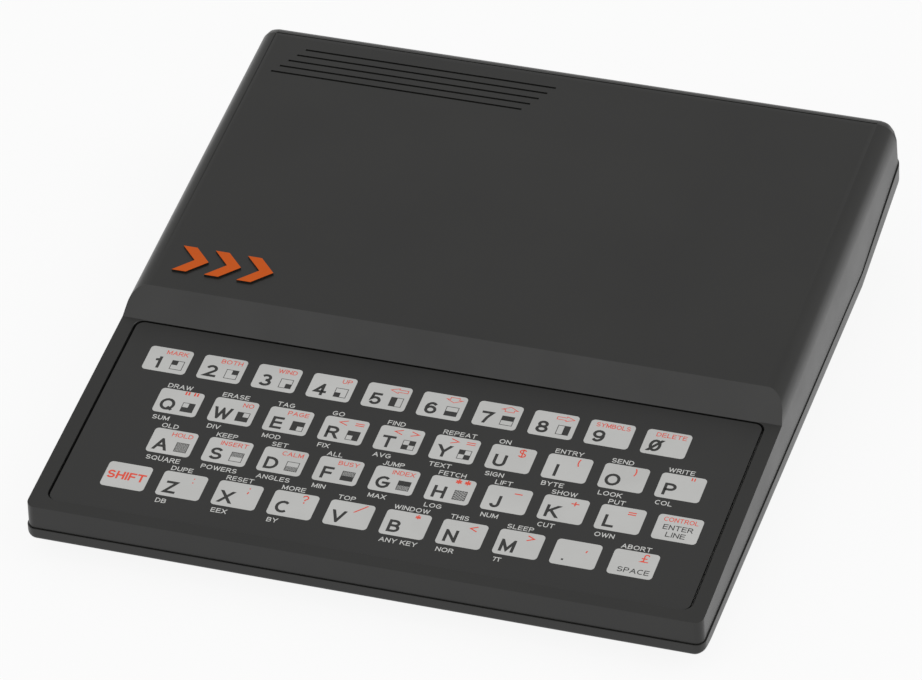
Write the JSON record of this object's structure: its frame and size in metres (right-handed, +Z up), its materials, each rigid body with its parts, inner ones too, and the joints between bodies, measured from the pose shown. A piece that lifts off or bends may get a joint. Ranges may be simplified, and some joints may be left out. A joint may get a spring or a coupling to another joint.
{
  "type": "vintage home computer",
  "caption": "Small black wedge-shaped home computer with a flat printed keyboard of light grey pads, a raised rear part, sockets at the left and a card edge at the back.",
  "frame": {"origin": "middle of the footprint, on the table under the feet", "axes": "+X to the right of a person who types, +Y to the back, +Z up"},
  "size_m": [0.167, 0.175, 0.0399],
  "materials": {
    "upper_plastic": "fine matte texture, black",
    "lower_plastic": "fine matte texture, black",
    "foot_rubber": "black rubber",
    "screw_steel": "zinc plated",
    "overlay_black": "satin printed film, black",
    "pad_grey": "satin printed film, light grey",
    "print_dark": "printed ink, dark grey",
    "print_red": "printed ink, orange red",
    "print_white": "printed ink, off-white",
    "badge_orange": "raised and painted, orange red",
    "clear_film": "plastic film",
    "circuit_film": "plastic film with printed tracks",
    "connector_white": "moulded, off-white",
    "board_green": "glass-fibre board, green lacquer",
    "socket_black": "moulded, black",
    "chip_black": "moulded, black",
    "tinned_can": "tinned steel",
    "jack_black": "moulded, black",
    "sink_aluminium": "bare sheet",
    "capacitor_blue": "sleeved, blue",
    "resistor_tan": "lacquered, tan",
    "resonator_orange": "dipped ceramic, orange"
  },
  "bodies": {
    "root": {"upper_case": "upper_plastic", "lower_case": "lower_plastic", "rubber_feet": "foot_rubber", "screws": "screw_steel", "keyboard_overlay": "overlay_black", "keyboard_spacer": "clear_film", "keyboard_circuit": "circuit_film", "ribbon_connectors": "connector_white", "circuit_board": "board_green", "ic_sockets": "socket_black", "processor_chip": "chip_black", "logic_array_chip": "chip_black", "memory_chips": "chip_black", "tv_modulator": "tinned_can", "jack_sockets": "jack_black", "voltage_regulator": "chip_black", "heat_sink": "sink_aluminium", "capacitors": "capacitor_blue", "resistors_and_diodes": "resistor_tan", "ceramic_resonator": "resonator_orange"},
    "key_1": {"key_1": "pad_grey"},
    "key_2": {"key_2": "pad_grey"},
    "key_3": {"key_3": "pad_grey"},
    "key_4": {"key_4": "pad_grey"},
    "key_5": {"key_5": "pad_grey"},
    "key_6": {"key_6": "pad_grey"},
    "key_7": {"key_7": "pad_grey"},
    "key_8": {"key_8": "pad_grey"},
    "key_9": {"key_9": "pad_grey"},
    "key_0": {"key_0": "pad_grey"},
    "key_q": {"key_q": "pad_grey"},
    "key_w": {"key_w": "pad_grey"},
    "key_e": {"key_e": "pad_grey"},
    "key_r": {"key_r": "pad_grey"},
    "key_t": {"key_t": "pad_grey"},
    "key_y": {"key_y": "pad_grey"},
    "key_u": {"key_u": "pad_grey"},
    "key_i": {"key_i": "pad_grey"},
    "key_o": {"key_o": "pad_grey"},
    "key_p": {"key_p": "pad_grey"},
    "key_a": {"key_a": "pad_grey"},
    "key_s": {"key_s": "pad_grey"},
    "key_d": {"key_d": "pad_grey"},
    "key_f": {"key_f": "pad_grey"},
    "key_g": {"key_g": "pad_grey"},
    "key_h": {"key_h": "pad_grey"},
    "key_j": {"key_j": "pad_grey"},
    "key_k": {"key_k": "pad_grey"},
    "key_l": {"key_l": "pad_grey"},
    "key_enter": {"key_enter": "pad_grey"},
    "key_shift": {"key_shift": "pad_grey"},
    "key_z": {"key_z": "pad_grey"},
    "key_x": {"key_x": "pad_grey"},
    "key_c": {"key_c": "pad_grey"},
    "key_v": {"key_v": "pad_grey"},
    "key_b": {"key_b": "pad_grey"},
    "key_n": {"key_n": "pad_grey"},
    "key_m": {"key_m": "pad_grey"},
    "key_period": {"key_period": "pad_grey"},
    "key_space": {"key_space": "pad_grey"}
  },
  "joints": [
    {"name": "key_1_press", "type": "slide", "parent": "root", "child": "key_1", "axis": [0, 0.1149, -0.9934], "range_m": [0, 0.0003], "stiffness_N_per_m": 2000},
    {"name": "key_2_press", "type": "slide", "parent": "root", "child": "key_2", "axis": [0, 0.1149, -0.9934], "range_m": [0, 0.0003], "stiffness_N_per_m": 2000},
    {"name": "key_3_press", "type": "slide", "parent": "root", "child": "key_3", "axis": [0, 0.1149, -0.9934], "range_m": [0, 0.0003], "stiffness_N_per_m": 2000},
    {"name": "key_4_press", "type": "slide", "parent": "root", "child": "key_4", "axis": [0, 0.1149, -0.9934], "range_m": [0, 0.0003], "stiffness_N_per_m": 2000},
    {"name": "key_5_press", "type": "slide", "parent": "root", "child": "key_5", "axis": [0, 0.1149, -0.9934], "range_m": [0, 0.0003], "stiffness_N_per_m": 2000},
    {"name": "key_6_press", "type": "slide", "parent": "root", "child": "key_6", "axis": [0, 0.1149, -0.9934], "range_m": [0, 0.0003], "stiffness_N_per_m": 2000},
    {"name": "key_7_press", "type": "slide", "parent": "root", "child": "key_7", "axis": [0, 0.1149, -0.9934], "range_m": [0, 0.0003], "stiffness_N_per_m": 2000},
    {"name": "key_8_press", "type": "slide", "parent": "root", "child": "key_8", "axis": [0, 0.1149, -0.9934], "range_m": [0, 0.0003], "stiffness_N_per_m": 2000},
    {"name": "key_9_press", "type": "slide", "parent": "root", "child": "key_9", "axis": [0, 0.1149, -0.9934], "range_m": [0, 0.0003], "stiffness_N_per_m": 2000},
    {"name": "key_0_press", "type": "slide", "parent": "root", "child": "key_0", "axis": [0, 0.1149, -0.9934], "range_m": [0, 0.0003], "stiffness_N_per_m": 2000},
    {"name": "key_q_press", "type": "slide", "parent": "root", "child": "key_q", "axis": [0, 0.1149, -0.9934], "range_m": [0, 0.0003], "stiffness_N_per_m": 2000},
    {"name": "key_w_press", "type": "slide", "parent": "root", "child": "key_w", "axis": [0, 0.1149, -0.9934], "range_m": [0, 0.0003], "stiffness_N_per_m": 2000},
    {"name": "key_e_press", "type": "slide", "parent": "root", "child": "key_e", "axis": [0, 0.1149, -0.9934], "range_m": [0, 0.0003], "stiffness_N_per_m": 2000},
    {"name": "key_r_press", "type": "slide", "parent": "root", "child": "key_r", "axis": [0, 0.1149, -0.9934], "range_m": [0, 0.0003], "stiffness_N_per_m": 2000},
    {"name": "key_t_press", "type": "slide", "parent": "root", "child": "key_t", "axis": [0, 0.1149, -0.9934], "range_m": [0, 0.0003], "stiffness_N_per_m": 2000},
    {"name": "key_y_press", "type": "slide", "parent": "root", "child": "key_y", "axis": [0, 0.1149, -0.9934], "range_m": [0, 0.0003], "stiffness_N_per_m": 2000},
    {"name": "key_u_press", "type": "slide", "parent": "root", "child": "key_u", "axis": [0, 0.1149, -0.9934], "range_m": [0, 0.0003], "stiffness_N_per_m": 2000},
    {"name": "key_i_press", "type": "slide", "parent": "root", "child": "key_i", "axis": [0, 0.1149, -0.9934], "range_m": [0, 0.0003], "stiffness_N_per_m": 2000},
    {"name": "key_o_press", "type": "slide", "parent": "root", "child": "key_o", "axis": [0, 0.1149, -0.9934], "range_m": [0, 0.0003], "stiffness_N_per_m": 2000},
    {"name": "key_p_press", "type": "slide", "parent": "root", "child": "key_p", "axis": [0, 0.1149, -0.9934], "range_m": [0, 0.0003], "stiffness_N_per_m": 2000},
    {"name": "key_a_press", "type": "slide", "parent": "root", "child": "key_a", "axis": [0, 0.1149, -0.9934], "range_m": [0, 0.0003], "stiffness_N_per_m": 2000},
    {"name": "key_s_press", "type": "slide", "parent": "root", "child": "key_s", "axis": [0, 0.1149, -0.9934], "range_m": [0, 0.0003], "stiffness_N_per_m": 2000},
    {"name": "key_d_press", "type": "slide", "parent": "root", "child": "key_d", "axis": [0, 0.1149, -0.9934], "range_m": [0, 0.0003], "stiffness_N_per_m": 2000},
    {"name": "key_f_press", "type": "slide", "parent": "root", "child": "key_f", "axis": [0, 0.1149, -0.9934], "range_m": [0, 0.0003], "stiffness_N_per_m": 2000},
    {"name": "key_g_press", "type": "slide", "parent": "root", "child": "key_g", "axis": [0, 0.1149, -0.9934], "range_m": [0, 0.0003], "stiffness_N_per_m": 2000},
    {"name": "key_h_press", "type": "slide", "parent": "root", "child": "key_h", "axis": [0, 0.1149, -0.9934], "range_m": [0, 0.0003], "stiffness_N_per_m": 2000},
    {"name": "key_j_press", "type": "slide", "parent": "root", "child": "key_j", "axis": [0, 0.1149, -0.9934], "range_m": [0, 0.0003], "stiffness_N_per_m": 2000},
    {"name": "key_k_press", "type": "slide", "parent": "root", "child": "key_k", "axis": [0, 0.1149, -0.9934], "range_m": [0, 0.0003], "stiffness_N_per_m": 2000},
    {"name": "key_l_press", "type": "slide", "parent": "root", "child": "key_l", "axis": [0, 0.1149, -0.9934], "range_m": [0, 0.0003], "stiffness_N_per_m": 2000},
    {"name": "key_enter_press", "type": "slide", "parent": "root", "child": "key_enter", "axis": [0, 0.1149, -0.9934], "range_m": [0, 0.0003], "stiffness_N_per_m": 2000},
    {"name": "key_shift_press", "type": "slide", "parent": "root", "child": "key_shift", "axis": [0, 0.1149, -0.9934], "range_m": [0, 0.0003], "stiffness_N_per_m": 2000},
    {"name": "key_z_press", "type": "slide", "parent": "root", "child": "key_z", "axis": [0, 0.1149, -0.9934], "range_m": [0, 0.0003], "stiffness_N_per_m": 2000},
    {"name": "key_x_press", "type": "slide", "parent": "root", "child": "key_x", "axis": [0, 0.1149, -0.9934], "range_m": [0, 0.0003], "stiffness_N_per_m": 2000},
    {"name": "key_c_press", "type": "slide", "parent": "root", "child": "key_c", "axis": [0, 0.1149, -0.9934], "range_m": [0, 0.0003], "stiffness_N_per_m": 2000},
    {"name": "key_v_press", "type": "slide", "parent": "root", "child": "key_v", "axis": [0, 0.1149, -0.9934], "range_m": [0, 0.0003], "stiffness_N_per_m": 2000},
    {"name": "key_b_press", "type": "slide", "parent": "root", "child": "key_b", "axis": [0, 0.1149, -0.9934], "range_m": [0, 0.0003], "stiffness_N_per_m": 2000},
    {"name": "key_n_press", "type": "slide", "parent": "root", "child": "key_n", "axis": [0, 0.1149, -0.9934], "range_m": [0, 0.0003], "stiffness_N_per_m": 2000},
    {"name": "key_m_press", "type": "slide", "parent": "root", "child": "key_m", "axis": [0, 0.1149, -0.9934], "range_m": [0, 0.0003], "stiffness_N_per_m": 2000},
    {"name": "key_period_press", "type": "slide", "parent": "root", "child": "key_period", "axis": [0, 0.1149, -0.9934], "range_m": [0, 0.0003], "stiffness_N_per_m": 2000},
    {"name": "key_space_press", "type": "slide", "parent": "root", "child": "key_space", "axis": [0, 0.1149, -0.9934], "range_m": [0, 0.0003], "stiffness_N_per_m": 2000}
  ]
}
